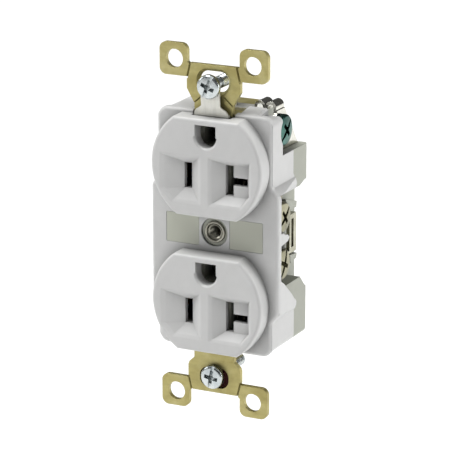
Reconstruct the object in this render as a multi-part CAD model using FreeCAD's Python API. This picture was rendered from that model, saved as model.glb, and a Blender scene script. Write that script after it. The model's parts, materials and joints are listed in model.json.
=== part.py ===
import FreeCAD, Part
import os
import math
from FreeCAD import Vector as V

# Duplex wall outlet with a wraparound grounding strap, in millimetres.
# +X right seen from the front, -Y out of the wall (front), +Y into the wall, +Z up.
# Origin: midway between the two box screws, on the rear face of the strap's ears.

# ---------------------------------------------------------------- dimensions
STRAP_T = 1.4            # strap sheet thickness
FLANGE_Y = -1.1          # front plane of the cover's flange
PLATE_BACK = 0.9         # back of the cover's front plate
BODY_X = 17.4            # half width of the body
MID_X = 19.5             # half width of the flange between the two faces
BODY_Z = 33.0            # half height of the body behind the flange
LIP_Z = 34.1             # half height of the flange
BACK_Y = 22.1            # back of the body
FACE_Z = 19.45           # centre of each receptacle face, above and below the middle
FACE_Y = -6.5            # front plane of the faces
FACE_R0, FACE_R1 = 16.75, 16.8     # face radius at the flange and at the front
FLAT_UP0, FLAT_UP1 = 13.75, 13.55  # upper flat above the face centre, at the flange and at the front
FLAT_LO0, FLAT_LO1 = 14.15, 14.1   # lower flat below the face centre
GROUND_DZ = 8.65         # ground pin centre above the face centre
GROUND_R = 3.15
HOT_X = -6.25            # centre of the hot blade slot
NEUT_X = 6.35            # centre of the upright part of the T slot
BLADE_DZ = -3.15         # centre of the blade slots below the face centre
BOX_SCREW_Z = 41.67      # box screws, 83.34 mm apart
EAR_X, EAR_Z, EAR_R = 11.84, 47.87, 2.6
TERM_UP = (5.6, 4.8)     # upper terminal screw, (Y, Z)
TERM_LO = (5.4, -8.6)    # lower terminal screw, (Y, Z)
GSCREW = (9.5, 28.4)     # ground screw, (Y, Z)
SCREW_R = 2.05           # terminal screw shank radius
FIT = 0.05               # radial clearance of the terminal screws in their plates
CHAN_X = 6.5             # half width of the channel for the strap's legs
LEG_Z0, LEG_Z1 = 31.6, 33.0        # strap leg, inner and outer faces
CAV_X, CAV_Z = 15.9, 30.6          # cover cavity half sizes
BUS_X0, BUS_X1 = 13.6, 14.6        # bus plate
POCKET_Z0, POCKET_Z1 = -15.6, 11.0  # terminal pocket

os.makedirs("parts", exist_ok=True)


# ---------------------------------------------------------------- helpers
def box(x0, x1, y0, y1, z0, z1):
    return Part.makeBox(x1 - x0, y1 - y0, z1 - z0, V(x0, y0, z0))


def face_of(points):
    return Part.Face(Part.makePolygon([V(*p) for p in points] + [V(*points[0])]))


def prism_x(yz, x0, x1):
    return face_of([(x0, y, z) for y, z in yz]).extrude(V(x1 - x0, 0, 0))


def prism_y(xz, y0, y1):
    return face_of([(x, y0, z) for x, z in xz]).extrude(V(0, y1 - y0, 0))


def cyl_y(r, y0, y1, x=0.0, z=0.0):
    return Part.makeCylinder(r, y1 - y0, V(x, y0, z), V(0, 1, 0))


def cyl_x(r, x0, x1, y, z):
    return Part.makeCylinder(r, x1 - x0, V(x0, y, z), V(1, 0, 0))


def cone_y(r0, r1, y0, y1, x=0.0, z=0.0):
    return Part.makeCone(r0, r1, y1 - y0, V(x, y0, z), V(0, 1, 0))


def fuse(shapes):
    s = shapes[0]
    if len(shapes) > 1:
        s = s.multiFuse(shapes[1:])
    return s.removeSplitter()


def cut(s, tools):
    for t in tools if isinstance(tools, (list, tuple)) else [tools]:
        s = s.cut(t)
    return s


def mirror_x(s):
    return s.mirror(V(0, 0, 0), V(1, 0, 0))


def edges_where(s, test):
    return [e for e in s.Edges if test(e)]


def fillet(s, r, test):
    es = edges_where(s, test)
    if not es:
        print("no edges for a fillet of", r)
        return s
    try:
        f = s.makeFillet(r, es)
        if f.isValid() and f.Volume > 0:
            return f
    except Exception as err:
        print("fillet failed", r, len(es), err)
    done = s
    return done


def chamfer(s, r, test):
    es = edges_where(s, test)
    try:
        f = s.makeChamfer(r, es)
        if f.isValid() and f.Volume > 0:
            return f
    except Exception as err:
        print("chamfer failed", r, len(es), err)
    return s


def rounded_xz(x0, x1, z0, z1, r, y0, y1):
    s = box(x0, x1, y0, y1, z0, z1)
    return fillet(s, r, lambda e: abs(e.tangentAt(e.FirstParameter).y) > 0.99)


def along_y(e):
    return e.Curve.TypeId == "Part::GeomLine" and abs(e.tangentAt(e.FirstParameter).y) > 0.99


def sheet_xz(points, t, y0, y1):
    """A bent strip of thickness t whose left face follows points (x, z), between y0 and y1."""
    n = len(points)
    normals = []
    for i in range(n - 1):
        dx, dz = points[i + 1][0] - points[i][0], points[i + 1][1] - points[i][1]
        d = math.hypot(dx, dz)
        normals.append((-dz / d, dx / d))
    off = []
    for i in range(n):
        if i == 0:
            nx, nz, k = normals[0][0], normals[0][1], 1.0
        elif i == n - 1:
            nx, nz, k = normals[-1][0], normals[-1][1], 1.0
        else:
            nx = normals[i - 1][0] + normals[i][0]
            nz = normals[i - 1][1] + normals[i][1]
            d = math.hypot(nx, nz)
            nx, nz = nx / d, nz / d
            k = 1.0 / max(0.3, nx * normals[i][0] + nz * normals[i][1])
        off.append((points[i][0] + nx * t * k, points[i][1] + nz * t * k))
    return prism_y(points + off[::-1], y0, y1)


def sheet_yz(points, t, x0, x1):
    """A bent strip of thickness t whose one face follows points (y, z), between x0 and x1."""
    s = sheet_xz(points, t, x0, x1)
    m = FreeCAD.Matrix(0, 1, 0, 0, 1, 0, 0, 0, 0, 0, 1, 0, 0, 0, 0, 1)
    return s.transformGeometry(m)


def arc_pts(cx, cz, r, a0, a1, n):
    return [
        (cx + r * math.cos(math.radians(a0 + (a1 - a0) * i / n)), cz + r * math.sin(math.radians(a0 + (a1 - a0) * i / n)))
        for i in range(n + 1)
    ]


def save(shape, name):
    if shape.ShapeType == "Compound" and len(shape.Solids) == 1:
        shape = shape.Solids[0]
    ok = shape.isValid()
    print(f"{name:26s} solids {len(shape.Solids)} valid {ok} volume {shape.Volume:.1f}")
    shape.exportStep(f"parts/{name}.step")


# ---------------------------------------------------------------- screw shapes
def screw_head_y(r, y0, y1, z, recess=0.55):
    """A pan head at x=0 whose front (towards -Y) is at y0 and underside at y1, with a cross recess and a slot."""
    h = cyl_y(r, y0, y1, 0, z)
    h = fillet(h, min(0.9, (y1 - y0) * 0.55), lambda e: abs(e.BoundBox.YMax - y0) < 1e-6)
    slot = box(-r - 1, r + 1, y0 - 1, y0 + recess * 0.9, z - 0.42, z + 0.42)
    cross = fuse([
        box(-0.45, 0.45, y0 - 1, y0 + recess * 2.0, z - 1.75, z + 1.75),
        box(-1.75, 1.75, y0 - 1, y0 + recess * 2.0, z - 0.45, z + 0.45),
    ])
    return cut(h, [slot, cross])


def terminal_screw(yz, head_back, head_front, tip, r_head, turn):
    """A combination-head terminal screw along +X: head from head_back to head_front, shank to tip."""
    y, z = yz
    h = cyl_x(r_head, head_back, head_front, y, z)
    h = fillet(h, 0.75, lambda e: abs(e.BoundBox.XMin - head_front) < 1e-6)
    slot = box(head_front - 0.75, head_front + 1, y - r_head - 1, y + r_head + 1, z - 0.5, z + 0.5)
    cross = fuse([
        box(head_front - 1.35, head_front + 1, y - 2.2, y + 2.2, z - 0.5, z + 0.5),
        box(head_front - 1.35, head_front + 1, y - 0.5, y + 0.5, z - 2.2, z + 2.2),
    ])
    for t in (slot, cross):
        t.rotate(V(head_front, y, z), V(1, 0, 0), turn)
    h = cut(h, [slot, cross])
    shank = cyl_x(SCREW_R, tip, head_back + 0.2, y, z)
    shank = chamfer(shank, 0.5, lambda e: abs(e.BoundBox.XMax - tip) < 1e-6)
    return h.fuse(shank).removeSplitter()


# ---------------------------------------------------------------- cover
def flange_outline():
    """Front plate seen from the front: narrow at both ends, wider between the faces."""
    right = [
        (BODY_X, LIP_Z), (BODY_X, 14.3), (MID_X, 11.8), (MID_X, -21.5), (BODY_X, -24.0), (BODY_X, -LIP_Z),
    ]
    left = [(-x, z) for x, z in right[::-1]]
    return right + left


plate = prism_y(flange_outline(), FLANGE_Y, PLATE_BACK)
plate = fillet(plate, 3.0, lambda e: along_y(e) and abs(abs(e.CenterOfMass.z) - LIP_Z) < 0.01)
plate = fillet(plate, 2.5, lambda e: along_y(e) and (abs(e.CenterOfMass.z - 14.3) < 0.01 or abs(e.CenterOfMass.z - 11.8) < 0.01
                                                     or abs(e.CenterOfMass.z + 21.5) < 0.01 or abs(e.CenterOfMass.z + 24.0) < 0.01))
plate = fillet(plate, 0.95, lambda e: abs(e.BoundBox.YMax - FLANGE_Y) < 1e-6)


def face_blank(zc):
    cone = cone_y(FACE_R1, FACE_R0, FACE_Y, FLANGE_Y + 0.3, 0, zc)
    h = FLANGE_Y + 0.3 - FACE_Y
    wedge = prism_x([(FACE_Y, zc - FLAT_LO1), (FACE_Y + h, zc - FLAT_LO0), (FACE_Y + h, zc + FLAT_UP0), (FACE_Y, zc + FLAT_UP1)], -20, 20)
    s = cone.common(wedge)
    s = fillet(s, 0.9, lambda e: abs(e.BoundBox.YMax - FACE_Y) < 1e-6)
    return s


def grown(points, d):
    """A convex outline moved outwards by d."""
    n = len(points)
    area = sum(points[i][0] * points[(i + 1) % n][1] - points[(i + 1) % n][0] * points[i][1] for i in range(n))
    sgn = 1.0 if area > 0 else -1.0
    lines = []
    for i in range(n):
        (x0, z0), (x1, z1) = points[i], points[(i + 1) % n]
        length = math.hypot(x1 - x0, z1 - z0)
        nx, nz = sgn * (z1 - z0) / length, -sgn * (x1 - x0) / length
        lines.append((nx, nz, nx * x0 + nz * z0 + d))
    out = []
    for i in range(n):
        a, b = lines[i - 1], lines[i]
        det = a[0] * b[1] - b[0] * a[1]
        out.append(((a[2] * b[1] - b[2] * a[1]) / det, (a[0] * b[2] - b[0] * a[2]) / det))
    return out


def funnel(outer, inner, zc):
    """A sloping recess from the face plane down to the slot."""
    def wire(points, y):
        return Part.makePolygon([V(x, y, zc + z) for x, z in points] + [V(points[0][0], y, zc + points[0][1])])
    depth = 2.2
    g = 0.35
    k = g / depth
    far = [(o[0] + (o[0] - i[0]) * k, o[1] + (o[1] - i[1]) * k) for o, i in zip(outer, inner)]
    s = Part.makeLoft([wire(far, FACE_Y - g), wire(inner, FACE_Y + depth)], True, True)
    # two shallow steps soften the rim
    at = lambda t: [(o[0] + (i[0] - o[0]) * t, o[1] + (i[1] - o[1]) * t) for o, i in zip(outer, inner)]
    r0, r1 = grown(outer, 0.50), grown(outer, 0.20)
    lip0 = [(2 * a[0] - b[0], 2 * a[1] - b[1]) for a, b in zip(r0, r1)]
    s = s.fuse(Part.makeLoft([wire(lip0, FACE_Y - 0.08), wire(r1, FACE_Y + 0.08)], True, True))
    return s.fuse(Part.makeLoft([wire(r1, FACE_Y + 0.079), wire(at(0.15), FACE_Y + 0.15 * depth)], True, True))


def face_openings(zc):
    tools = []
    # hot slot
    tools.append(funnel([(-13.5, 2.7), (-1.9, 2.7), (-1.9, -10.2), (-10.2, -10.2), (-13.5, -7.0)],
                        [(-7.55, 0.65), (-4.95, 0.65), (-4.95, -6.8), (-7.3, -6.8), (-7.55, -6.6)], zc))
    tools.append(box(-7.4, -5.1, FACE_Y - 1, 3, zc - 6.65, zc + 0.5))
    # T slot
    tools.append(funnel([(1.2, 2.7), (13.3, 2.7), (13.3, -6.6), (10.4, -10.2), (1.2, -10.2)],
                        [(4.95, 1.3), (12.0, 1.3), (12.0, -7.3), (11.7, -7.65), (4.95, -7.65)], zc))
    tools.append(box(5.15, 7.54, FACE_Y - 1, 3, zc - 7.45, zc + 1.1))
    tools.append(box(7.4, 11.8, FACE_Y - 1, 3, zc - 4.4, zc - 2.2))
    # ground hole: round below, flat on top
    g = cyl_y(GROUND_R, FACE_Y - 1, 3, 0, zc + GROUND_DZ).fuse(box(-GROUND_R, GROUND_R, FACE_Y - 1, 3, zc + GROUND_DZ, zc + 11.85))
    tools.append(g)
    tools.append(cone_y(GROUND_R + 0.55, GROUND_R, FACE_Y - 0.05, FACE_Y + 0.5, 0, zc + GROUND_DZ).common(box(-5, 5, FACE_Y - 1, 0, zc, zc + GROUND_DZ)))
    return tools


def face_cavity(zc):
    c = cyl_y(14.2, FACE_Y + 3.7, PLATE_BACK + 0.2, 0, zc)
    return c.common(box(-20, 20, -20, 20, zc - 11.3, zc + 11.9))


# the region behind the plate that the cover's skirt takes
skirt = [box(-BODY_X, BODY_X, FLANGE_Y + 0.6, 6.0, -BODY_Z, BODY_Z)]
for side in (1, -1):
    def sx(a, b):
        return (a, b) if side > 0 else (-b, -a)
    x0, x1 = sx(10.0, BODY_X)
    # side walls above and below the terminals
    skirt.append(prism_x([(5.0, 23.0), (12.9, 23.0), (12.9, 15.5), (15.3, 12.1), (14.8, 11.0), (5.0, 11.0)], x0, x1))
    skirt.append(prism_x([(5.0, -33.0), (13.65, -33.0), (13.65, -24.0), (15.4, -22.4), (15.2, -21.7), (6.0, -15.6), (5.0, -15.6)], x0, x1))
# the left end of the top wall runs deeper than the right, which is open for the ground terminal
skirt.append(box(-BODY_X, -CHAN_X, 5.0, 18.6, 23.0, BODY_Z))
skirt.append(box(-CHAN_X - 0.5, CHAN_X + 0.5, 5.0, 13.65, -BODY_Z, -24.0))
skirt.append(box(-BODY_X, BODY_X, 5.0, 13.65, -BODY_Z, -28.0))
cover_region = fuse(skirt)

# body envelope behind the plate, cover and base together
env = box(-BODY_X, BODY_X, FLANGE_Y + 0.6, BACK_Y, -BODY_Z, BODY_Z)
env = fillet(env, 1.6, lambda e: along_y(e))
env = chamfer(env, 0.7, lambda e: abs(e.BoundBox.YMin - BACK_Y) < 1e-6 and abs(e.BoundBox.YMax - BACK_Y) < 1e-6)
low_corner = [(17.6, POCKET_Z0), (20.4, -18.6), (22.4, -19.8), (24, -19.8), (24, 12.4), (22.2, 12.2), (19.9, 11.9), (17.2, POCKET_Z1)]
pocket_yz = [(PLATE_BACK - 2.0, POCKET_Z1), (PLATE_BACK - 2.0, POCKET_Z0)] + low_corner
pocket_r = prism_x(pocket_yz, 13.5, 25)
ground_notch = box(9.0, 25, 6.0, 30, 22.2, 40)
channel = [box(-CHAN_X, CHAN_X, FLANGE_Y + 1.2, 30, LEG_Z0 - 0.05, 40), box(-CHAN_X, CHAN_X, FLANGE_Y + 1.2, 30, -40, -LEG_Z0 + 0.05)]
web_recess = []
env = cut(env, [pocket_r, mirror_x(pocket_r), ground_notch] + channel)

flare_up = prism_y([(15.5, 15.6), (BODY_X, 14.3), (MID_X, 11.8), (MID_X, 11.0), (15.5, 11.0)], FLANGE_Y + 0.9, 20)
taper = Part.Face(Part.makePolygon([V(x, y, -30) for x, y in [(10, -5), (MID_X, -5), (MID_X, 0.6), (BODY_X + 0.03, 15.4), (BODY_X + 0.03, 20), (10, 20), (10, -5)]])).extrude(V(0, 0, 60))
flare_up = flare_up.common(prism_x([(-5, 12.2), (0.9, 12.2), (14.9, 12.1), (15.3, 12.1), (12.9, 15.5), (-5, 15.6)], 10, 25)).common(taper)
flare_lo = prism_y([(15.5, -25.5), (BODY_X, -24.0), (MID_X, -21.5), (MID_X, -10.0), (15.5, -10.0)], FLANGE_Y + 0.9, 20)
flare_lo = flare_lo.common(prism_x([(-5, -12.0), (0.9, -12.0), (3.9, -13.7), (11.1, -18.8), (15.1, -22.4), (15.1, -22.9), (13.7, -23.8), (13.65, -25.6), (-5, -25.6)], 10, 25)).common(taper)
# a small finger of the flange that stands between the two terminal screws
finger = prism_x([(-0.4, 1.4), (4.4, 1.1), (6.5, -0.8), (5.6, -1.7), (-0.4, -2.4)], 17.7, 19.3)
for yz in (TERM_UP, TERM_LO):
    finger = finger.cut(cyl_x(4.62, 10, 25, *yz))

cavity = box(-CAV_X, CAV_X, PLATE_BACK, 30, -CAV_Z, CAV_Z)
ribs = []
for s0 in (1, -1):
    a, b = (6.9, 13.0) if s0 > 0 else (-13.0, -6.9)
    ribs.append(prism_x([(FLANGE_Y + 1.0, 32.5), (FLANGE_Y + 1.0, 34.05), (5.9, 34.95), (5.9, 32.5)], a, b))
    ribs[-1] = chamfer(ribs[-1], 0.5, lambda e: abs(e.BoundBox.ZMax - 34.95) < 0.01 and e.BoundBox.XLength < 0.01 and e.BoundBox.YLength > 1)

cover = fuse([plate, cut(env.common(cover_region), cavity)] + ribs)
cover = fuse([cover, flare_up, mirror_x(flare_up), flare_lo, mirror_x(flare_lo), finger, mirror_x(finger), face_blank(FACE_Z), face_blank(-FACE_Z)])
for zc in (FACE_Z, -FACE_Z):
    cover = cut(cover, face_openings(zc))
    cover = cover.cut(face_cavity(zc))
for s0 in (1, -1):
    a, b = (4.7, 14.8) if s0 > 0 else (-14.8, -4.7)
    cover = cover.cut(rounded_xz(a, b, -4.3, 4.3, 0.3, -3, 3))
cover = cover.cut(cyl_y(4.05, -3, 3))
# room for the strap's bends at both ends, for the grounding clip's foot and for the ground screw's head
for m in (1, -1):
    bend_room = cyl_x(2.04, -6.4, 6.4, 0.6, m * 33.6)
    neck_room = box(-6.4, 6.4, -STRAP_T - 0.04, 3, 33.6, 40) if m > 0 else box(-6.4, 6.4, -STRAP_T - 0.04, 3, -40, -33.6)
    cover = cut(cover, [bend_room, neck_room])
cover = cover.cut(box(-5.95, 5.95, -3.1, -1.0, 31.9, 40))
cover = cover.cut(cyl_x(4.7, 14.4, 25, *GSCREW))
# the two raised receptacle faces, in front of the flange
face_upper = cover.common(box(-20, 20, -10, FLANGE_Y, 0.5, 40)).removeSplitter()
face_lower = cover.common(box(-20, 20, -10, FLANGE_Y, -40, -0.5)).removeSplitter()
cover = cover.common(box(-30, 30, FLANGE_Y, 60, -60, 60)).removeSplitter()

# ---------------------------------------------------------------- base
base = cut(env, cover_region.cut(cavity))
base = cut(base, [flare_up, mirror_x(flare_up), flare_lo, mirror_x(flare_lo), plate])
base = base.common(box(-30, 30, PLATE_BACK, 40, -40, 40))
pads = []
for s0 in (1, -1):
    a, b = (4.76, 14.74) if s0 > 0 else (-14.74, -4.76)
    pads.append(rounded_xz(a, b, -4.24, 4.24, 0.25, FLANGE_Y + 0.02, 1.5))
boss = cyl_y(4.0, -0.25, 1.5)
base = fuse([base] + pads + [boss])
# ledges of the base that stand out behind the terminals, beside the break-off tabs
ledge_up = prism_x([(9.4, 8.8), (16.7, 6.6), (16.4, 4.9), (12.4, 5.2), (10.8, 6.2)], 13.0, 16.7).cut(box(12, 14.7, 0, 11.75, 0, 20))
ledge_lo = prism_x([(12.4, -8.0), (16.9, -8.5), (16.5, -9.8), (12.9, -10.5)], 13.0, 16.7)
base = fuse([base, ledge_up, mirror_x(ledge_up), ledge_lo, mirror_x(ledge_lo)])
chambers = []
for zc in (FACE_Z, -FACE_Z):
    hi = 21.2 if zc > 0 else zc + 2.4
    lo = 11.7 if zc > 0 else zc - 8.4
    chambers.append(box(4.2, 14.7, 0, 17.0, lo, hi))
    chambers.append(box(-14.7, -3.6, 0, 17.0, lo, hi))
    chambers.append(box(-3.9, 3.9, 0, 30, zc + 4.9, min(zc + 11.2, 30.6)))
# slots for the bus plates between the terminal pockets and the chambers
chambers.append(box(13.5, 14.7, 2.9, 11.75, -27.0, 20.0))
chambers.append(box(-14.7, -13.5, 2.9, 11.75, -27.0, 20.0))
chambers.append(cyl_y(2.65, -5, 40))
for yz in (TERM_UP, TERM_LO):
    chambers.append(cyl_x(2.5, 8.6, 15, *yz))
    chambers.append(cyl_x(2.5, -15, -8.6, *yz))
# the corners under the strap's rear bends, the ground screw's head and its tip
for m in (1, -1):
    chambers.append(prism_x([(20.9, m * 31.8), (22.3, m * 31.8), (22.3, m * 30.4)], -CHAN_X, CHAN_X))
    chambers.append(cyl_x(2.04, -6.4, 6.4, 0.6, m * 33.6))
chambers.append(cyl_x(4.7, 14.4, 25, *GSCREW))
chambers.append(cyl_x(2.5, 8.0, 12, *GSCREW))
base = cut(base, chambers).removeSplitter()

# ---------------------------------------------------------------- strap
def strap_profile(sign):
    """Outer face first: ear flange, bend and leg, as (y, z) points."""
    r_in, cz = 0.6, LEG_Z1 + 0.6
    outer = [(-STRAP_T, 52.3)] + arc_pts(r_in, cz, r_in + STRAP_T, 180, 270, 8)
    inner = [(0.0, 52.3)] + arc_pts(r_in, cz, r_in, 180, 270, 8)
    return outer, inner


def strap_leg():
    r_in, cz = 0.6, LEG_Z1 + 0.6
    flange = box(-20, 20, -STRAP_T, 0, cz, 60)
    bend = cyl_x(r_in + STRAP_T, -20, 20, r_in, cz).cut(cyl_x(r_in, -21, 21, r_in, cz)).common(box(-20, 20, -5, r_in, 0, cz))
    y_b = BACK_Y + 0.0
    r2 = 0.8
    leg = box(-20, 20, r_in, y_b - r2, LEG_Z0, LEG_Z1)
    bend2 = cyl_x(r2 + STRAP_T, -20, 20, y_b - r2, LEG_Z0 - r2).cut(cyl_x(r2, -21, 21, y_b - r2, LEG_Z0 - r2)).common(box(-20, 20, y_b - r2, 40, LEG_Z0 - r2, 40))
    return fuse([flange, bend, leg, bend2])


def flange_shape_top():
    half = [(0, 47.1), (7.15, 47.1), (7.2, 46.6), (8.1, 42.6), (8.1, 40.0), (5.8, 36.0), (5.6, 30.0), (6.0, 29.0), (6.0, -5), (0, -5)]
    pts = half + [(-x, z) for x, z in half[::-1] if x > 0]
    core = prism_y(pts, -10, 40)
    ears = []
    for s0 in (1, -1):
        pts = [(7.0 * s0, 52.3), (16.4 * s0, 52.3), (16.4 * s0, 43.2), (8.15 * s0, 43.2), (7.2 * s0, 46.6), (7.9 * s0, 48.0), (7.9 * s0, 52.3)]
        e = prism_y([(7.9 * s0, 52.3), (16.4 * s0, 52.3), (16.4 * s0, 43.2), (7.7 * s0, 43.2), (7.1 * s0, 46.6), (7.9 * s0, 47.3)], -10, 40)
        e = fillet(e, 2.0, lambda ed: along_y(ed) and (ed.CenterOfMass.z > 52 or (ed.CenterOfMass.z < 43.5 and abs(ed.CenterOfMass.x) > 12)))
        ears.append(e)
    return core, ears


core, ears = flange_shape_top()
top = strap_leg()
top_s = top.common(fuse([core] + ears))
low = strap_leg()
half = [(0, 46.6), (7.5, 46.6), (8.1, 42.6), (8.1, 39.4), (7.8, 38.5), (6.9, 37.6), (6.2, 37.0), (6.15, 30.0), (6.0, 29.0), (6.0, -5), (0, -5)]
core_lo = prism_y(half + [(-x, z) for x, z in half[::-1] if x > 0], -10, 40)
low_s = low.common(fuse([core_lo] + ears)).mirror(V(0, 0, 0), V(0, 0, 1))
z_in = LEG_Z0 - 0.8
web = box(-6.0, 6.0, BACK_Y, BACK_Y + STRAP_T, -z_in, z_in)
strap = fuse([top_s, low_s, web])
holes = []
for sx0 in (1, -1):
    for sz0 in (1, -1):
        holes.append(cyl_y(EAR_R, -5, 5, sx0 * EAR_X, sz0 * EAR_Z))
# wide slots for the box screws, the upper one with a coined rim
TOP_SLOT_Z = 42.45
holes.append(rounded_xz(-4.4, 4.4, TOP_SLOT_Z - 2.85, TOP_SLOT_Z + 2.85, 2.7, -5, 5))
slot_c = -42.25
sl = rounded_xz(-4.45, 4.45, slot_c - 2.95, slot_c + 2.95, 2.6, -5, 5)
holes.append(sl)
holes.append(cyl_y(2.65, 10, 40))                      # centre rivet
G_UP, G_LO = FACE_Z + GROUND_DZ, -FACE_Z + GROUND_DZ
for gz in (G_UP, G_LO):
    holes.append(cyl_y(1.25, 10, 40, 0, gz))
# score lines where the ears break off, and the two creases beside the clip
for s0 in (1, -1):
    for m in (1, -1):
        a = V(s0 * 7.15, -STRAP_T, m * 46.6)
        b = V(s0 * 7.95, -STRAP_T, m * 43.2)
        d = (b - a)
        n = V(d.z, 0, -d.x).normalize() * 0.32
        p0, p1 = a - d * 0.15, b + d * 0.15
        w = Part.makePolygon([p0 - n, p0 + V(0, 0.45, 0), p0 + n, p0 - V(0, 0.1, 0) + n, p0 - V(0, 0.1, 0) - n, p0 - n])
        holes.append(Part.Face(w).extrude(p1 - p0))
for s0 in (1, -1):
    a = V(s0 * 3.3, -STRAP_T, 38.4)
    b = V(s0 * 6.1, -STRAP_T, 35.9)
    d = b - a
    n = V(d.z, 0, -d.x).normalize() * 0.22
    w = Part.makePolygon([a - n, a + V(0, 0.3, 0), a + n, a - V(0, 0.1, 0) + n, a - V(0, 0.1, 0) - n, a - n])
    holes.append(Part.Face(w).extrude(d))
strap = cut(strap, holes).removeSplitter()
strap = chamfer(strap, 0.75, lambda e: abs(e.BoundBox.YMin + STRAP_T) < 1e-4 and abs(e.BoundBox.YMax + STRAP_T) < 1e-4
                and abs(e.CenterOfMass.x) < 4.6 and abs(e.CenterOfMass.z - TOP_SLOT_Z) < 3.0)

# ---------------------------------------------------------------- self-grounding clip
clip_t = 0.5
clip_front = [(-1.42, 33.15), (-2.9, 33.15), (-3.0, 35.1), (-3.4, 38.0), (-3.4, 45.2)]
clip_rear = [(-2.9, 45.2), (-2.9, 38.1), (-2.5, 35.1), (-2.4, 33.65), (-1.42, 33.65)]


def clip_solid():
    # sheet that leaves the strap at its foot and stands off under the screw head
    s = prism_x(clip_front + clip_rear, -8, 8)
    half = [(2.85, 41.7), (2.85, 36.3), (3.0, 35.9), (3.7, 35.4), (4.4, 35.0), (4.95, 34.3), (5.2, 33.0)]
    k = prism_y([(x, z) for x, z in half] + [(-x, z) for x, z in half[::-1]], -10, 10)
    k = k.fuse(cyl_y(3.0, -10, 10, 0, BOX_SCREW_Z))
    s = s.common(k)
    return s.cut(cyl_y(1.82, -10, 10, 0, BOX_SCREW_Z)).removeSplitter()


clip = clip_solid()

# ---------------------------------------------------------------- box screws
def box_screw(z, y_front, y_under, y_tip, r_head=3.4, tilt=20):
    h = screw_head_y(r_head, y_front, y_under, z)
    h.rotate(V(0, 0, z), V(0, 1, 0), tilt)
    neck = cyl_y(1.42, y_under - 0.3, 1.8, 0, z)
    sh = cyl_y(1.75, 1.6, y_tip, 0, z)
    sh = chamfer(sh, 0.55, lambda e: abs(e.BoundBox.YMin - y_tip) < 1e-6)
    return fuse([h, neck, sh]).removeSplitter()


screw_top = box_screw(BOX_SCREW_Z, -5.35, -3.5, 15.5, 3.4, 5)
screw_bot = box_screw(-BOX_SCREW_Z, -3.75, -1.4, 15.5, 3.4, 2)

# fibre washer that keeps the lower screw in the strap
washer = rounded_xz(-5.4, 5.4, -BOX_SCREW_Z - 4.0, -BOX_SCREW_Z + 4.0, 1.2, 0.55, 1.25)
washer = washer.cut(cyl_y(1.47, -5, 5, 0, -BOX_SCREW_Z))

# ---------------------------------------------------------------- centre rivet
RIV_F, RIV_B = -1.0, 24.4
rivet = fuse([cyl_y(2.58, RIV_F + 0.2, RIV_B - 0.1), cyl_y(3.1, RIV_F, -0.25), cyl_y(3.7, BACK_Y + STRAP_T, RIV_B)])
rivet = fillet(rivet, 0.3, lambda e: abs(e.BoundBox.YMax - RIV_F) < 1e-6 or (abs(e.BoundBox.YMin - RIV_B) < 1e-6))
rivet = rivet.cut(cyl_y(1.42, -5, 40)).cut(cone_y(1.95, 1.42, RIV_F - 0.001, RIV_F + 0.6))

# ---------------------------------------------------------------- buses
def bus(neutral):
    """One stamping: side plate with two terminal bosses, a break-off tab and the contacts of both faces."""
    parts = [box(BUS_X0, BUS_X1, 3.0, 11.6, -25.8, 19.3)]
    parts.append(box(BUS_X0, BUS_X1, 11.0, 16.8, 13.2, 19.3))
    parts.append(box(BUS_X0, BUS_X1, 11.0, 16.8, -25.8, -19.4))
    # bosses under the terminal screws
    for y, z in (TERM_UP, TERM_LO):
        parts.append(cyl_x(3.7, BUS_X1 - 0.1, 16.4, y, z))
    # break-off tab frame: a slotted bridge that stands out between the two terminals
    frame = box(15.7, 16.7, 12.1, 16.45, -7.5, 3.6)
    frame = fillet(frame, 1.1, lambda e: e.BoundBox.XLength > 0.9 and e.BoundBox.YLength < 0.01 and e.BoundBox.ZLength < 0.01)
    frame = frame.cut(box(15, 17.5, 13.25, 14.75, -6.0, 2.2))
    parts.append(frame)
    parts.append(box(BUS_X1 - 0.1, 16.7, 10.9, 16.3, 2.75, 3.55))
    parts.append(box(BUS_X1 - 0.1, 16.7, 10.9, 16.3, -7.45, -6.65))
    for zc in (FACE_Z, -FACE_Z):
        zb = zc + BLADE_DZ
        if neutral:
            parts.append(box(4.8, BUS_X1, 16.0, 16.8, zb - 3.0, zb + 3.0))
            parts.append(box(4.92, 5.62, 2.2, 16.4, zb - 2.9, zb + 2.9))
            parts.append(box(7.08, 7.78, 2.2, 16.4, zb - 2.9, zb - 1.6))
            parts.append(box(7.08, 7.78, 2.2, 16.4, zb + 1.3, zb + 2.9))
            parts.append(box(8.3, 11.6, 2.2, 16.4, zb - 1.55, zb - 0.9))
            parts.append(box(8.3, 11.6, 2.2, 16.4, zb + 0.6, zb + 1.25))
        else:
            parts.append(box(4.8, BUS_X1, 16.0, 16.8, zb - 3.0, zb + 3.0))
            parts.append(box(4.82, 5.52, 2.2, 16.4, zb - 2.9, zb + 2.9))
            parts.append(box(6.98, 7.68, 2.2, 16.4, zb - 2.9, zb + 2.9))
    s = fuse(parts)
    for y, z in (TERM_UP, TERM_LO):
        s = s.cut(cyl_x(SCREW_R + FIT, 10, 18, y, z))
    return s.removeSplitter()


neutral_bus = bus(True)
hot_bus = mirror_x(bus(False))
HEAD_IN, HEAD_OUT = 16.45, 18.5
n_up = terminal_screw(TERM_UP, HEAD_IN, HEAD_OUT, 9.2, 4.4, 35)
n_lo = terminal_screw(TERM_LO, HEAD_IN, HEAD_OUT, 9.2, 4.4, 62)
h_up = mirror_x(terminal_screw(TERM_UP, HEAD_IN, HEAD_OUT, 9.2, 4.4, 10))
h_lo = mirror_x(terminal_screw(TERM_LO, HEAD_IN, HEAD_OUT, 9.2, 4.4, 80))

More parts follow.
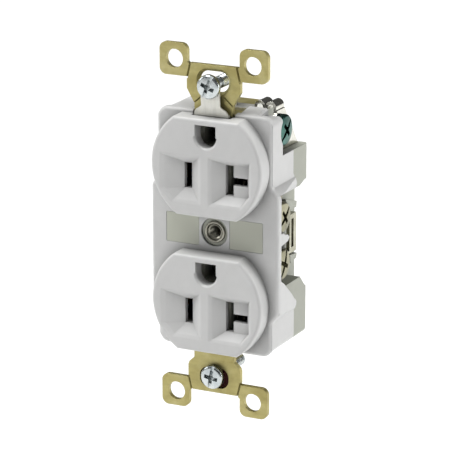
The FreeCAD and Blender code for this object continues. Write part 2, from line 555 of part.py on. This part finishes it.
# ---------------------------------------------------------------- ground contacts, rivets
def ground_contact(gz):
    foot = box(-3.2, 3.2, BACK_Y - 1.0, BACK_Y, gz - 2.9, gz + 2.35)
    tube = cyl_y(2.95, 3.0, BACK_Y - 0.5, 0, gz).cut(cyl_y(2.35, 0, 40, 0, gz))
    tube = tube.cut(box(-0.7, 0.7, 0, 40, gz - 5, gz + 5)).common(box(-5, 5, 0, 40, gz - 5, gz + 2.4))
    s = fuse([foot, tube])
    return s.cut(cyl_y(1.25, 10, 40, 0, gz)).removeSplitter()


gc_up, gc_lo = ground_contact(G_UP), ground_contact(G_LO)


def ground_rivet(gz):
    s = fuse([cyl_y(1.2, BACK_Y - 1.5, BACK_Y + 2.0, 0, gz), cyl_y(2.0, BACK_Y - 1.9, BACK_Y - 1.0, 0, gz), cyl_y(2.2, BACK_Y + STRAP_T, BACK_Y + STRAP_T + 0.8, 0, gz)])
    return fillet(s, 0.4, lambda e: abs(e.BoundBox.YMin - (BACK_Y + STRAP_T + 0.8)) < 1e-6)


rivets = Part.makeCompound([ground_rivet(G_UP), ground_rivet(G_LO)])

# ---------------------------------------------------------------- ground terminal
BR_X0, BR_X1 = 13.9, 14.9
plate_g = prism_x([(6.6, 22.25), (21.0, 22.25), (12.9, 33.3), (12.6, 34.0), (7.6, 34.0), (7.6, 33.2), (6.6, 32.6)], BR_X0, BR_X1)
def curl(x, z):
    ring = cyl_y(1.65, 7.6, 12.6, x, z).cut(cyl_y(0.85, 7, 13, x, z))
    return ring.common(box(-30, 30, 0, 30, z, z + 5))


arm = fuse([
    box(-3.6, 8.85, 7.6, 12.6, LEG_Z1, LEG_Z1 + 0.8),
    box(8.05, 8.85, 7.6, 12.6, LEG_Z1, 34.76), curl(9.7, 34.75),
    box(10.55, 12.1, 7.6, 12.6, 34.1, 34.76), curl(12.95, 34.75),
    box(13.8, 14.6, 7.6, 12.6, 33.0, 34.76),
])
bracket = fuse([plate_g, arm])
bracket = bracket.cut(cyl_x(SCREW_R + FIT, 10, 20, *GSCREW))
bracket = bracket.cut(Part.makeCylinder(1.25, 5, V(-0.6, 10.1, 31), V(0, 0, 1))).removeSplitter()
ground_screw = terminal_screw(GSCREW, 15.0, 17.1, 9.7, 4.4, 42)
# rivet that ties the ground terminal to the strap's leg
def rivet_z():
    s = fuse([
        Part.makeCylinder(1.2, LEG_Z1 + 1.2 - (LEG_Z0 - 0.0), V(-0.6, 10.1, LEG_Z0), V(0, 0, 1)),
        Part.makeCylinder(2.1, 0.7, V(-0.6, 10.1, LEG_Z1 + 0.8), V(0, 0, 1)),
    ])
    return fillet(s, 0.35, lambda e: abs(e.BoundBox.ZMin - (LEG_Z1 + 1.5)) < 1e-6)


bracket_rivet = rivet_z()
strap = strap.cut(Part.makeCylinder(1.25, 10, V(-0.6, 10.1, 28), V(0, 0, 1))).removeSplitter()

# ---------------------------------------------------------------- export
NODES = {
    "face_cover": cover,
    "receptacle_face_upper": face_upper,
    "receptacle_face_lower": face_lower,
    "back_body": base,
    "mounting_strap": strap,
    "self_grounding_clip": clip,
    "box_screw_top": screw_top,
    "box_screw_bottom": screw_bot,
    "retaining_washer": washer,
    "centre_rivet": rivet,
    "neutral_bus": neutral_bus,
    "hot_bus": hot_bus,
    "neutral_screw_upper": n_up,
    "neutral_screw_lower": n_lo,
    "hot_screw_upper": h_up,
    "hot_screw_lower": h_lo,
    "ground_screw": ground_screw,
    "ground_terminal": bracket,
    "ground_terminal_rivet": bracket_rivet,
    "ground_contact_upper": gc_up,
    "ground_contact_lower": gc_lo,
    "ground_contact_rivets": rivets,
}
for name, shape in NODES.items():
    save(shape, name)
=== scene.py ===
import bpy, bmesh, json, math
from mathutils import Vector, Matrix


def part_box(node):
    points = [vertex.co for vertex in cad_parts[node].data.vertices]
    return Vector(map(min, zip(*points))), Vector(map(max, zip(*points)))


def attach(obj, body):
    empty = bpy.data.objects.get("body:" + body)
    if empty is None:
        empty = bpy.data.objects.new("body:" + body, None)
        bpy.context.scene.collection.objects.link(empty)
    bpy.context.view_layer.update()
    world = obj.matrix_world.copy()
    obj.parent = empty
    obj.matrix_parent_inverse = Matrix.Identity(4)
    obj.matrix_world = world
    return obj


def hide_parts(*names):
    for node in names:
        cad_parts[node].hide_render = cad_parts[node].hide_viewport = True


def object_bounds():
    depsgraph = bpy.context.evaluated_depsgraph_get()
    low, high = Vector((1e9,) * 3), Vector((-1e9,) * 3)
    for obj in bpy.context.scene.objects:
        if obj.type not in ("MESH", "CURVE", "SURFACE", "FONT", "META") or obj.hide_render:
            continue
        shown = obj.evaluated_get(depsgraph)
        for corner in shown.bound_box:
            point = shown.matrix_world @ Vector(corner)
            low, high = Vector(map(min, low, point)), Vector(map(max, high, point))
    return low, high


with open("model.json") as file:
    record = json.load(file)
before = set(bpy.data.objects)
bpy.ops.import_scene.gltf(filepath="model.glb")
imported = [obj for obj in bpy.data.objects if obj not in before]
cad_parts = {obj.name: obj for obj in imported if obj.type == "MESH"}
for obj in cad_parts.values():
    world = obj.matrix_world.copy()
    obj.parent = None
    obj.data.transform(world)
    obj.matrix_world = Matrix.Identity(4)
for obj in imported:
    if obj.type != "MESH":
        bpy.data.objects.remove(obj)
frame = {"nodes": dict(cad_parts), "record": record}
CAD_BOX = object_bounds()
scene = bpy.context.scene
MM = 0.001


# ------------------------------------------------------------------ node helpers
def new_mat(name):
    m = bpy.data.materials.new(name)
    m.use_nodes = True
    nt = m.node_tree
    for n in list(nt.nodes):
        nt.nodes.remove(n)
    out = nt.nodes.new("ShaderNodeOutputMaterial")
    bsdf = nt.nodes.new("ShaderNodeBsdfPrincipled")
    nt.links.new(bsdf.outputs["BSDF"], out.inputs["Surface"])
    return m, nt, bsdf


def node(nt, kind, **values):
    n = nt.nodes.new(kind)
    for k, v in values.items():
        if k in n.inputs:
            n.inputs[k].default_value = v
        else:
            setattr(n, k, v)
    return n


def coords(nt, scale=(1, 1, 1), rotation=(0, 0, 0)):
    tc = nt.nodes.new("ShaderNodeTexCoord")
    mp = nt.nodes.new("ShaderNodeMapping")
    mp.inputs["Scale"].default_value = scale
    mp.inputs["Rotation"].default_value = rotation
    nt.links.new(tc.outputs["Object"], mp.inputs["Vector"])
    return mp.outputs["Vector"]


def noise(nt, vec, scale, detail=3.0, rough=0.55, distortion=0.0):
    n = nt.nodes.new("ShaderNodeTexNoise")
    n.inputs["Scale"].default_value = scale
    n.inputs["Detail"].default_value = detail
    n.inputs["Roughness"].default_value = rough
    n.inputs["Distortion"].default_value = distortion
    nt.links.new(vec, n.inputs["Vector"])
    return n.outputs["Fac"]


def ramp(nt, fac, stops):
    r = nt.nodes.new("ShaderNodeValToRGB")
    el = r.color_ramp.elements
    while len(el) < len(stops):
        el.new(0.5)
    for e, (p, c) in zip(el, stops):
        e.position = p
        e.color = (*c, 1.0) if len(c) == 3 else c
    nt.links.new(fac, r.inputs["Fac"])
    return r.outputs["Color"]


def to_range(nt, fac, lo, hi, a=0.3, b=0.7):
    m = nt.nodes.new("ShaderNodeMapRange")
    m.inputs["From Min"].default_value = a
    m.inputs["From Max"].default_value = b
    m.inputs["To Min"].default_value = lo
    m.inputs["To Max"].default_value = hi
    nt.links.new(fac, m.inputs["Value"])
    return m.outputs["Result"]


def mix_rgb(nt, fac, a, b, blend="MIX"):
    m = nt.nodes.new("ShaderNodeMix")
    m.data_type = "RGBA"
    m.blend_type = blend
    if isinstance(fac, float):
        m.inputs[0].default_value = fac
    else:
        nt.links.new(fac, m.inputs[0])
    for sock, v in ((m.inputs[6], a), (m.inputs[7], b)):
        if isinstance(v, tuple):
            sock.default_value = (*v, 1.0)
        else:
            nt.links.new(v, sock)
    return m.outputs[2]


def bump(nt, bsdf, height, strength, distance, bevel=0.0):
    b = nt.nodes.new("ShaderNodeBump")
    b.inputs["Strength"].default_value = strength
    b.inputs["Distance"].default_value = distance
    nt.links.new(height, b.inputs["Height"])
    if bevel:
        bv = nt.nodes.new("ShaderNodeBevel")
        bv.samples = 6
        bv.inputs["Radius"].default_value = bevel
        nt.links.new(bv.outputs["Normal"], b.inputs["Normal"])
    nt.links.new(b.outputs["Normal"], bsdf.inputs["Normal"])
    return b


def add(nt, a, b, wa=1.0, wb=1.0):
    m1 = nt.nodes.new("ShaderNodeMath"); m1.operation = "MULTIPLY"
    m1.inputs[1].default_value = wa
    nt.links.new(a, m1.inputs[0])
    m2 = nt.nodes.new("ShaderNodeMath"); m2.operation = "MULTIPLY_ADD"
    m2.inputs[1].default_value = wb
    nt.links.new(b, m2.inputs[0])
    nt.links.new(m1.outputs[0], m2.inputs[2])
    return m2.outputs[0]


def along(nt, axis, lo, hi):
    """0 to 1 as the position along one axis goes from lo to hi."""
    tc = nt.nodes.new("ShaderNodeTexCoord")
    sep = nt.nodes.new("ShaderNodeSeparateXYZ")
    nt.links.new(tc.outputs["Object"], sep.inputs["Vector"])
    return to_range(nt, sep.outputs[axis], 0.0, 1.0, lo, hi)


def painted_corner_shade(nt, distance, strength, tint=(0.0, 0.0, 0.0)):
    """Painted shade: darker base colour in corners and grooves, found by ambient occlusion."""
    a = nt.nodes.new("ShaderNodeAmbientOcclusion")
    a.samples = 8
    a.inputs["Distance"].default_value = distance
    lo = 1.0 - strength
    return ramp(nt, a.outputs["AO"], [(0.25, (lo, lo, lo)), (0.95, (1.0, 1.0, 1.0))])


def plastic(name, colour, dark, rough, grain=2600.0, grain_h=0.000012, sss=0.0, bevel=0.00012, painted_ao=0.0, painted_front_light=None):
    m, nt, bsdf = new_mat(name)
    v = coords(nt)
    big = noise(nt, v, 55.0, 4.0, 0.6)
    mid = noise(nt, v, 420.0, 3.0, 0.6)
    fine = noise(nt, v, grain, 2.0, 0.6)
    base = ramp(nt, add(nt, big, mid, 0.7, 0.3), [(0.32, dark), (0.62, colour)])
    # painted shade: base colour darkened in corners and recesses by ambient occlusion
    if painted_ao:
        base = mix_rgb(nt, 1.0, base, painted_corner_shade(nt, 0.0045, painted_ao), "MULTIPLY")
    # painted light: the base colour lightens towards the front (y from 4 mm down to 1 mm) to brighten the shaded front
    # pads
    if painted_front_light:
        base = mix_rgb(nt, along(nt, "Y", 0.004, 0.001), base, painted_front_light)
    nt.links.new(base, bsdf.inputs["Base Color"])
    nt.links.new(to_range(nt, add(nt, big, fine, 0.5, 0.5), rough - 0.05, rough + 0.07), bsdf.inputs["Roughness"])
    bsdf.inputs["IOR"].default_value = 1.5
    bsdf.inputs["Specular IOR Level"].default_value = 0.42
    if sss:
        bsdf.inputs["Subsurface Weight"].default_value = sss
        bsdf.inputs["Subsurface Radius"].default_value = (0.0008, 0.0008, 0.0009)
        bsdf.inputs["Subsurface Scale"].default_value = 1.0
    bump(nt, bsdf, add(nt, fine, mid, 0.7, 0.5), 0.35, grain_h, bevel)
    return m


def metal(name, colour, tint, dark, rough, grain=(1.0, 1.0, 1.0), streak=900.0, bump_h=0.00001, bevel=0.00012, metallic=1.0, spread=0.12, painted_ao=0.3, polish=False, painted_slot_shade=None):
    """Plated metal: cloudy tint from the plating, fine streaks from the strip it was cut from, small scratches, painted
    shade in corners and, where asked, inside the contact slots.
    """
    m, nt, bsdf = new_mat(name)
    v = coords(nt)
    vs = coords(nt, grain)
    cloud = noise(nt, v, 95.0, 4.0, 0.62, 0.6)
    cloud2 = noise(nt, v, 300.0, 3.0, 0.6)
    lines = noise(nt, vs, streak, 4.0, 0.65)
    pits = noise(nt, v, 2400.0, 2.0, 0.6)
    base = ramp(nt, add(nt, cloud, cloud2, 0.7, 0.3), [(0.30, dark), (0.50, colour), (0.70, tint)])
    shade = ramp(nt, lines, [(0.30, (0.86, 0.86, 0.86)), (0.60, (1.0, 1.0, 1.0))])
    base = mix_rgb(nt, 1.0, base, shade, "MULTIPLY")
    # painted shade: base colour darkened in corners and recesses by ambient occlusion
    if painted_ao:
        base = mix_rgb(nt, 1.0, base, painted_corner_shade(nt, 0.003, painted_ao), "MULTIPLY")
    if painted_slot_shade:
        # painted shade: the contact leaves are darkened inward of about 12 mm from the centre, where they sit in the
        # unlit slots
        base = mix_rgb(nt, along(nt, "X", painted_slot_shade[1], painted_slot_shade[0]), base, srgb(58, 55, 46))
    nt.links.new(base, bsdf.inputs["Base Color"])
    bsdf.inputs["Metallic"].default_value = metallic
    rgh = to_range(nt, add(nt, lines, cloud, 0.5, 0.5), rough - spread / 2, rough + spread / 2)
    if polish:
        sel = along(nt, "X", 0.006, 0.008)
        mul = nt.nodes.new("ShaderNodeMath"); mul.operation = "MULTIPLY"
        nt.links.new(rgh, mul.inputs[0])
        nt.links.new(to_range(nt, sel, 1.0, 0.38, 0.0, 1.0), mul.inputs[1])
        rgh = mul.outputs[0]
        nt.links.new(to_range(nt, sel, metallic, 1.0, 0.0, 1.0), bsdf.inputs["Metallic"])
    nt.links.new(rgh, bsdf.inputs["Roughness"])
    bump(nt, bsdf, add(nt, lines, pits, 0.7, 0.3), 0.5, bump_h, bevel)
    return m


def srgb(r, g, b):
    def f(c):
        c /= 255.0
        return c / 12.92 if c <= 0.04045 else ((c + 0.055) / 1.055) ** 2.4
    return (f(r), f(g), f(b))


M = {
    "white_nylon": plastic("white_nylon", srgb(203, 203, 202), srgb(197, 197, 196), 0.40, sss=0.0, bevel=0.0004, painted_ao=0.7),
    "grey_polyester": plastic("grey_polyester", srgb(165, 167, 156), srgb(158, 160, 149), 0.5, grain=1900.0, grain_h=0.00002, painted_ao=0.2, painted_front_light=srgb(184, 186, 173)),
    "zinc_yellow_steel": metal("zinc_yellow_steel", srgb(184, 174, 116), srgb(202, 193, 142), srgb(158, 145, 88), 0.42, (0.12, 1.0, 1.0), 700.0, 0.000012, 0.00016, metallic=0.72, painted_ao=0.5),
    "nickel_spring": metal("nickel_spring", srgb(222, 221, 212), srgb(232, 231, 225), srgb(204, 201, 188), 0.36, (1.0, 1.0, 0.15), metallic=0.6, polish=True),
    "zinc_screw": metal("zinc_screw", srgb(206, 212, 212), srgb(226, 230, 228), srgb(166, 176, 180), 0.27, (1.0, 1.0, 1.0), 1500.0, 0.000008, 0.00008),
    "red_fibre": plastic("red_fibre", srgb(96, 26, 22), srgb(64, 14, 12), 0.72, grain=1500.0, grain_h=0.00004),
    "rivet_steel": metal("rivet_steel", srgb(160, 158, 146), srgb(180, 178, 166), srgb(122, 120, 108), 0.3, (1.0, 1.0, 1.0), 1500.0, 0.000008, 0.00008),
    "nickel_brass": metal("nickel_brass", srgb(178, 176, 158), srgb(196, 194, 176), srgb(142, 139, 118), 0.33, (1.0, 0.2, 1.0), painted_slot_shade=(0.0118, 0.0128)),
    "brass": metal("brass", srgb(214, 176, 96), srgb(226, 192, 116), srgb(182, 140, 66), 0.32, (1.0, 1.0, 0.15), painted_slot_shade=(-0.0118, -0.0128)),
    "nickel_screw": metal("nickel_screw", srgb(140, 137, 112), srgb(170, 167, 140), srgb(84, 78, 56), 0.30, (1.0, 1.0, 1.0), 1500.0, 0.00001, 0.00008),
    "brass_screw": metal("brass_screw", srgb(216, 182, 104), srgb(232, 204, 132), srgb(172, 132, 64), 0.24, (1.0, 1.0, 1.0), 1500.0, 0.00001, 0.00008),
    "green_screw": metal("green_screw", srgb(62, 106, 96), srgb(110, 146, 138), srgb(24, 58, 52), 0.24, (1.0, 1.0, 1.0), 1300.0, 0.00001, 0.00008),
}

SLOT_OF = {s["node"]: s["material_slot"] for s in frame["record"]["subparts"]}


def dress(obj, mat):
    if obj.material_slots:
        for s in obj.material_slots:
            s.material = mat
    else:
        obj.data.materials.append(mat)


for name, obj in frame["nodes"].items():
    dress(obj, M[SLOT_OF[name]])


# ------------------------------------------------------------------ mesh helpers
def make(name, verts, faces, smooth=True):
    me = bpy.data.meshes.new(name)
    me.from_pydata([tuple(v) for v in verts], [], faces)
    me.validate()
    me.update()
    o = bpy.data.objects.new(name, me)
    scene.collection.objects.link(o)
    if smooth:
        for p in me.polygons:
            p.use_smooth = True
    return o


def lathe(profile, seg=64):
    """Closed surface of revolution about local +Y from (radius, y) points; first and last radius 0 or caps."""
    verts, faces = [], []
    rings = []
    for r, y in profile:
        if r < 1e-9:
            rings.append([len(verts)])
            verts.append((0.0, y, 0.0))
        else:
            ring = []
            for i in range(seg):
                a = 2 * math.pi * i / seg
                ring.append(len(verts))
                verts.append((r * math.cos(a), y, r * math.sin(a)))
            rings.append(ring)
    for a, b in zip(rings, rings[1:]):
        if len(a) == 1 and len(b) == 1:
            continue
        if len(a) == 1:
            faces += [(a[0], b[i], b[(i + 1) % seg]) for i in range(seg)]
        elif len(b) == 1:
            faces += [(a[i], b[0], a[(i + 1) % seg]) for i in range(seg)]
        else:
            faces += [(a[i], b[i], b[(i + 1) % seg], a[(i + 1) % seg]) for i in range(seg)]
    return verts, faces


def outward(o):
    bm = bmesh.new()
    bm.from_mesh(o.data)
    bmesh.ops.recalc_face_normals(bm, faces=bm.faces)
    bm.to_mesh(o.data)
    bm.free()


def thread(r_major, depth, pitch, y0, y1, seg=56, per=10, runout=0.9, tip=0.7, inner=False, core=None):
    """Helical V thread about +Y between y0 and y1 as a closed tube. The core and inner arguments are not used."""
    verts, faces, rings = [], [], []
    n = max(2, int(round((y1 - y0) / (pitch / per))))
    for j in range(n + 1):
        y = y0 + (y1 - y0) * j / n
        ring = []
        for i in range(seg):
            a = 2 * math.pi * i / seg
            ph = (y / pitch - a / (2 * math.pi)) % 1.0
            tri = abs(2 * ph - 1)
            k = min(1.0, max(0.0, (tri - 0.06) / 0.82))
            fade = min(1.0, max(0.0, (y - y0) / runout))
            d = depth * (1 - k) * fade
            r = r_major - d
            if tip and y1 - y < tip:
                r = min(r, r_major - depth - 0.12 * MM + (y1 - y) / tip * (depth + 0.12 * MM))
            ring.append(len(verts))
            verts.append((r * math.cos(a), y, r * math.sin(a)))
        rings.append(ring)
    for a, b in zip(rings, rings[1:]):
        faces += [(a[i], b[i], b[(i + 1) % seg], a[(i + 1) % seg]) for i in range(seg)]
    return verts, faces, rings


def apply_modifiers(o):
    dg = bpy.context.evaluated_depsgraph_get()
    me = bpy.data.meshes.new_from_object(o.evaluated_get(dg))
    o.modifiers.clear()
    o.data = me


def smooth_angle(o, deg=35):
    me = o.data
    me.polygons.foreach_set("use_smooth", [True] * len(me.polygons))
    me.set_sharp_from_angle(angle=math.radians(deg))


def tapered_box(cx, cz, w, h, y0, y1, k, turn=0.0):
    """Box cutter centred at cx, cz: width w along X, h along Z at y0, k times that at y1."""
    v = []
    for y, f in ((y0, 1.0), (y1, k)):
        for sx, sz in ((-1, -1), (1, -1), (1, 1), (-1, 1)):
            x, z = sx * w / 2 * f if w < h else sx * w / 2 * f, sz * h / 2 * f
            c, s = math.cos(turn), math.sin(turn)
            v.append((cx + x * c - z * s, y, cz + x * s + z * c))
    f = [(0, 1, 2, 3), (7, 6, 5, 4), (0, 4, 5, 1), (1, 5, 6, 2), (2, 6, 7, 3), (3, 7, 4, 0)]
    return v, f


def cut_with(o, cutters):
    for i, (v, f) in enumerate(cutters):
        c = make(f"cutter_{o.name}_{i}", v, f, False)
        outward(c)
        m = o.modifiers.new("cut", "BOOLEAN")
        m.operation = "DIFFERENCE"
        m.solver = "EXACT"
        m.object = c
        bpy.context.view_layer.update()
        apply_modifiers(o)
        bpy.data.objects.remove(c)


def screw(name, r_head, h_head, r_shank, depth, pitch, length, crown=0.35, slot_w=0.85, slot_d=0.55, cross_w=0.95, cross_l=3.9, cross_d=1.3, turn=0.0, runout=0.8, neck=0.0, r_neck=0.0):
    """Pan-head machine screw about +Y: head front at y=0 facing -Y, tip at y=length. All in mm, returned in metres."""
    s = MM
    edge = min(0.8, h_head * 0.5)
    prof = [(0.0, 0.0)]
    n = 8
    for i in range(1, 6):
        r = (r_head - edge) * i / 5
        prof.append((r * s, crown * (r / r_head) ** 2 * s))
    y_edge = crown * ((r_head - edge) / r_head) ** 2
    for i in range(1, n + 1):
        a = math.pi / 2 * i / n
        prof.append(((r_head - edge + edge * math.sin(a)) * s, (y_edge + edge * (1 - math.cos(a))) * s))
    prof.append((r_head * s, (h_head - 0.18) * s))
    prof.append(((r_head - 0.06) * s, (h_head - 0.05) * s))
    prof.append(((r_head - 0.2) * s, h_head * s))
    prof.append(((r_shank + 0.25) * s, h_head * s))
    prof.append(((r_shank + 0.05) * s, (h_head + 0.08) * s))
    if neck:
        prof = prof[:-2] + [((r_neck + 0.3) * s, h_head * s), ((r_neck + 0.04) * s, (h_head + 0.15) * s), (r_neck * s, (h_head + 0.3) * s), (r_neck * s, (neck + 0.3) * s), (0.0, (neck + 0.3) * s)]
    else:
        prof += [(r_shank * 0.98 * s, (h_head + 0.3) * s), (0.0, (h_head + 0.3) * s)]
    hv, hf = lathe(prof)
    head = make(name, hv, hf)
    outward(head)
    t = turn
    cutters = [tapered_box(0, 0, 2 * r_head * s * 1.2, slot_w * s, -0.3 * s, slot_d * s, 1.0, t)]
    cutters.append(tapered_box(0, 0, cross_l * s, cross_w * s, -0.3 * s, cross_d * s, 0.72, t))
    cutters.append(tapered_box(0, 0, cross_w * s, cross_l * s, -0.3 * s, cross_d * s, 0.72, t))
    cone_v, cone_f = lathe([(0.0, -0.3 * s), (0.95 * s, -0.3 * s), (0.8 * s, 0.9 * s), (0.0, (cross_d + 0.35) * s)], 24)
    cutters.append((cone_v, cone_f))
    cut_with(head, cutters)
    # threaded shank, closed at both ends
    t0 = neck if neck else h_head + 0.1
    tv, tf, rings = thread(r_shank * s, depth * s, pitch * s, t0 * s, length * s, runout=runout * s, tip=0.6 * s)
    a, b = len(tv), len(tv) + 1
    tv += [(0, t0 * s, 0), (0, length * s - 0.02 * s, 0)]
    seg = len(rings[0])
    tf += [(a, rings[0][i], rings[0][(i + 1) % seg]) for i in range(seg)]
    tf += [(b, rings[-1][(i + 1) % seg], rings[-1][i]) for i in range(seg)]
    sh = make(name + "_thread", tv, tf)
    outward(sh)
    smooth_angle(head, 32)
    smooth_angle(sh, 48)
    bm = bmesh.new()
    bm.from_mesh(head.data)
    bm.from_mesh(sh.data)
    me = bpy.data.meshes.new(name)
    bm.to_mesh(me)
    bm.free()
    bpy.data.objects.remove(sh)
    head.data = me
    return head


def place(o, origin, axis):
    """Turns a screw built about +Y so that +Y points along axis, with its head's front at origin."""
    q = Vector((0, 1, 0)).rotation_difference(Vector(axis))
    o.data.transform(Matrix.Translation(Vector(origin)) @ q.to_matrix().to_4x4())


def front(node_name, axis, low):
    lo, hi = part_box(node_name)
    return (lo if low else hi)[axis]


# ------------------------------------------------------------------ box screws
def centre(node_name):
    lo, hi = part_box(node_name)
    return (lo + hi) / 2


for nm, h_head, turn in (("box_screw_top", 1.85, math.radians(68)), ("box_screw_bottom", 2.35, math.radians(80))):
    lo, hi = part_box(nm)
    c = (lo + hi) / 2
    total = (hi.y - lo.y) / MM
    sc = screw(nm + "_detail", 3.38, h_head, 1.745, 0.42, 0.794, total, crown=0.3, turn=turn, slot_w=0.95, slot_d=0.7, cross_w=1.15, cross_l=4.4, cross_d=1.5,
               neck=1.6 - lo.y / MM, r_neck=1.4)
    place(sc, (c.x, lo.y, c.z), (0, 1, 0))
    dress(sc, M["zinc_screw"])
    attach(sc, nm)
    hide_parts(nm)

# ------------------------------------------------------------------ terminal and ground screws
for nm, sign, slot_name, turn in (
    ("neutral_screw_upper", 1, "nickel_screw", 38), ("neutral_screw_lower", 1, "nickel_screw", 64),
    ("hot_screw_upper", -1, "brass_screw", 15), ("hot_screw_lower", -1, "brass_screw", 82),
    ("ground_screw", 1, "green_screw", 42),
):
    lo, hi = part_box(nm)
    c = (lo + hi) / 2
    r_head = (hi.z - lo.z) / 2 / MM - 0.01
    total = (hi.x - lo.x) / MM
    h_head = 2.0 if nm != "ground_screw" else 2.05
    sc = screw(nm + "_detail", r_head, h_head, 2.045, 0.5, 0.794, total, crown=0.45, slot_w=0.8, slot_d=0.62, cross_w=1.25, cross_l=4.9, cross_d=1.35, turn=math.radians(turn))
    x = hi.x if sign > 0 else lo.x
    place(sc, (x, c.y, c.z), (-sign, 0, 0))
    dress(sc, M[slot_name])
    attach(sc, nm)
    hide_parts(nm)

# ------------------------------------------------------------------ middle rivet with its tapped bore
lo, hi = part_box("centre_rivet")
rc = (lo + hi) / 2
f, b = lo.y / MM, hi.y / MM
prof = [(2.58, b - 0.8), (2.6, b - 0.85), (3.6, b - 0.8), (3.69, b - 0.7), (3.69, b - 0.25), (3.6, b - 0.08), (3.45, b - 0.01), (1.75, b - 0.01), (1.45, b - 0.3)]
y = b - 0.6
while y > f + 1.6:
    prof += [(1.44, y), (1.44, y - 0.10), (1.78, y - 0.38), (1.78, y - 0.44)]
    y -= 0.794
prof += [(1.44, f + 0.85), (1.5, f + 0.7), (1.85, f + 0.45), (2.02, f + 0.38), (2.10, f + 0.42), (2.16, f + 0.62), (2.26, f + 0.62), (2.34, f + 0.30), (2.46, f + 0.08), (2.62, f + 0.01),
         (2.82, f + 0.01), (2.98, f + 0.07), (3.07, f + 0.2), (3.09, f + 0.4), (3.09, f + 0.74), (2.95, f + 0.76), (2.62, f + 0.76), (2.57, f + 0.85)]
seg = 96
verts, faces = [], []
for r, yy in prof:
    for i in range(seg):
        a = 2 * math.pi * i / seg
        verts.append(((r * math.cos(a)) * MM + rc.x, yy * MM, (r * math.sin(a)) * MM + rc.z))
n = len(prof)
for j in range(n):
    k = (j + 1) % n
    faces += [(j * seg + i, k * seg + i, k * seg + (i + 1) % seg, j * seg + (i + 1) % seg) for i in range(seg)]
riv = make("centre_rivet_detail", verts, faces)
outward(riv)
smooth_angle(riv, 40)
dress(riv, M["rivet_steel"])
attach(riv, "outlet")
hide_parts("centre_rivet")

# ------------------------------------------------------------------ stage, light, camera
def srf(name, col, rough):
    """Plain pale sweep."""
    m, nt, bsdf = new_mat(name)
    bsdf.inputs["Base Color"].default_value = (*col, 1.0)
    bsdf.inputs["Roughness"].default_value = rough
    bsdf.inputs["Specular IOR Level"].default_value = 0.1
    return m


floor_z = CAD_BOX[0][2] - 0.035 if hasattr(CAD_BOX[0], "__len__") else -0.09
fl = make("floor", [(-3, -3, floor_z), (3, -3, floor_z), (3, 3, floor_z), (-3, 3, floor_z)], [(0, 1, 2, 3)], False)
dress(fl, srf("floor_pale", (0.92, 0.92, 0.92), 0.9))

world = bpy.data.worlds.new("world")
scene.world = world
world.use_nodes = True
bg = world.node_tree.nodes["Background"]
bg.inputs["Color"].default_value = (1, 1, 1, 1)
bg.inputs["Strength"].default_value = 0.085


def area(name, loc, target, size, power, size_y=None):
    l = bpy.data.lights.new(name, "AREA")
    l.energy = power
    l.size = size
    if size_y:
        l.shape = "RECTANGLE"
        l.size_y = size_y
    o = bpy.data.objects.new(name, l)
    o.location = loc
    o.rotation_euler = (Vector(target) - Vector(loc)).to_track_quat("-Z", "Y").to_euler()
    scene.collection.objects.link(o)
    return o


def sun(name, direction, strength, angle):
    l = bpy.data.lights.new(name, "SUN")
    l.energy = strength
    l.angle = math.radians(angle)
    o = bpy.data.objects.new(name, l)
    o.rotation_euler = Vector(direction).to_track_quat("-Z", "Y").to_euler()
    scene.collection.objects.link(o)
    return o


sun("top", (0.27, 0.19, -1.0), 3.5, 40)
area("key", (-0.80, -0.30, 0.34), (0, 0, 0), 0.30, 1.5)
area("side", (0.75, 0.34, 0.20), (0, 0, 0), 0.4, 3.6)

cam = bpy.data.cameras.new("camera")
cam.sensor_fit = "HORIZONTAL"
cam.sensor_width = 36.0
cam.lens = 36.0 * 2650.4 / 458.0
cam.clip_start = 0.01
cam.clip_end = 50
co = bpy.data.objects.new("camera", cam)
scene.collection.objects.link(co)
az, el, roll = math.radians(26.40), math.radians(16.27), math.radians(-0.07)
back = Vector((math.sin(az) * math.cos(el), -math.cos(az) * math.cos(el), math.sin(el)))
right = Vector((math.cos(az), math.sin(az), 0))
up = back.cross(right)
r2 = right * math.cos(roll) + up * math.sin(roll)
u2 = up * math.cos(roll) - right * math.sin(roll)
rot = Matrix((r2, u2, back)).transposed()
co.matrix_world = Matrix.Translation((0.31470, -0.62594, 0.20511)) @ rot.to_4x4()
scene.camera = co

scene.view_settings.view_transform = "Standard"
scene.view_settings.look = "None"
